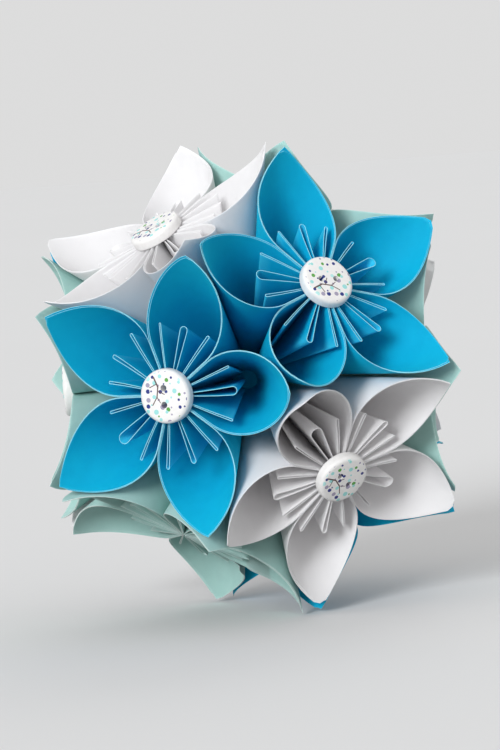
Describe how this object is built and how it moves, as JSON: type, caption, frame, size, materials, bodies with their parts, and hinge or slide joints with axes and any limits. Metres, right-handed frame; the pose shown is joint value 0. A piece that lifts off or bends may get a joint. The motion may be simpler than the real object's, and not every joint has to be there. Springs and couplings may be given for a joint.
{
  "type": "kusudama paper ball",
  "caption": "Kusudama paper ball: folded paper flowers in blue, white and mint glued into a sphere, with printed wooden buttons in their middles and a socket below for a twig.",
  "frame": {"origin": "the ball's centre, which every petal's fold points to", "axes": "-Z down the twig socket, +X out along the axis of the right flower, -Y towards the side that the picture shows"},
  "size_m": [0.1142, 0.1384, 0.1316],
  "materials": {
    "blue_paper": "matt coloured paper, bright blue",
    "white_paper": "matt white paper",
    "mint_paper": "matt coloured paper, pale mint green",
    "printed_button": "white painted wood with a small dotted print, satin",
    "glue": "milky hot-melt glue, satin"
  },
  "bodies": {
    "root": {"glue_core": "glue", "flower_right": "mint_paper", "flower_left": "mint_paper", "flower_back_right": "white_paper", "flower_front_left": "blue_paper", "flower_top_right": "mint_paper", "flower_top_left": "white_paper", "flower_bottom_right": "blue_paper", "flower_bottom_left": "mint_paper", "flower_upper_front": "blue_paper", "flower_lower_front": "white_paper", "flower_upper_back": "blue_paper", "flower_lower_back": "white_paper", "button_right": "printed_button", "button_left": "printed_button", "button_back_right": "printed_button", "button_front_left": "printed_button", "button_top_right": "printed_button", "button_top_left": "printed_button", "button_bottom_right": "printed_button", "button_upper_front": "printed_button", "button_lower_front": "printed_button", "button_upper_back": "printed_button", "button_lower_back": "printed_button"}
  },
  "joints": []
}
